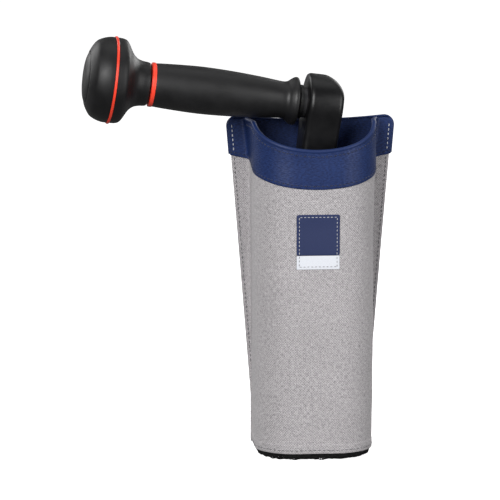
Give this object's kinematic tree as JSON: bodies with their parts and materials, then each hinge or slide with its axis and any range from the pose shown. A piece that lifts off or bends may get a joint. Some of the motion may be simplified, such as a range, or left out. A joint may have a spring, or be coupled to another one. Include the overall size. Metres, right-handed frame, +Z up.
{
  "type": "winch handle bag",
  "caption": "Tapered fabric bag with a vinyl collar and drain mesh base, holding a lock-in winch handle with a turning grip and palm knob.",
  "frame": {"origin": "on the bag's flat back face, midway between the four fixing eyelets", "axes": "+Y out of the back face, towards what the bag is fixed to; +Z up the bag; +X to the right seen from the front"},
  "size_m": [0.2483, 0.069, 0.3327],
  "materials": {
    "grey_cloth": "heathered woven polyester canvas",
    "blue_vinyl": "embossed vinyl-coated cloth",
    "black_mesh": "open drain mesh",
    "label_blue": "woven label",
    "label_white": "woven label",
    "bright_metal": "stainless",
    "dark_steel": "blackened",
    "black_alloy": "black anodised satin",
    "white_nylon": "moulded",
    "black_plastic": "moulded",
    "grip_rubber": "satin moulded rubber",
    "red_plastic": "moulded",
    "knob_plastic": "satin moulded rubber"
  },
  "bodies": {
    "bag": {"back_panel": "grey_cloth", "back_collar": "blue_vinyl", "front_panel": "grey_cloth", "front_collar": "blue_vinyl", "front_lining": "blue_vinyl", "rim_binding": "blue_vinyl", "bottom_hem": "grey_cloth", "mesh_base": "black_mesh", "label_patch_upper": "label_blue", "label_patch_lower": "label_white", "fixing_eyelets": "bright_metal", "eyelet_washers": "bright_metal"},
    "handle": {"arm": "black_alloy", "drive_head": "bright_metal", "spindle": "dark_steel", "thrust_washer": "black_plastic", "spindle_washer": "bright_metal", "spindle_screw": "bright_metal"},
    "grip": {"grip_core": "black_plastic", "grip_bushes": "white_nylon", "grip_sleeve": "grip_rubber", "grip_ring": "red_plastic"},
    "knob": {"knob_core": "black_plastic", "knob_bearings": "bright_metal", "knob_rear_shell": "knob_plastic", "knob_ring": "red_plastic", "knob_front_shell": "knob_plastic", "knob_palm_cap": "knob_plastic"},
    "lock": {"lock_lever": "black_alloy", "lock_shaft": "bright_metal", "lock_plate": "bright_metal", "lock_plate_screw": "bright_metal", "lock_spring": "bright_metal"}
  },
  "joints": [
    {"name": "handle_lift", "type": "slide", "parent": "bag", "child": "handle", "axis": [0, 0, 1], "range_m": [0, 0.28]},
    {"name": "grip_spin", "type": "hinge", "parent": "handle", "child": "grip", "pos_m": [-0.0072, -0.027, 0.143], "axis": [-0.9905, -0.0523, 0.1269], "continuous": true},
    {"name": "knob_spin", "type": "hinge", "parent": "handle", "child": "knob", "pos_m": [-0.0072, -0.027, 0.143], "axis": [-0.9905, -0.0523, 0.1269], "continuous": true},
    {"name": "lock_turn", "type": "hinge", "parent": "handle", "child": "lock", "pos_m": [-0.03947, -0.027, -0.10894], "axis": [-0.9905, -0.0523, 0.1269], "range_deg": [0, 45], "stiffness_Nm_per_rad": 0.1, "springref_deg": -11.46, "deforming": ["lock_spring"]}
  ]
}
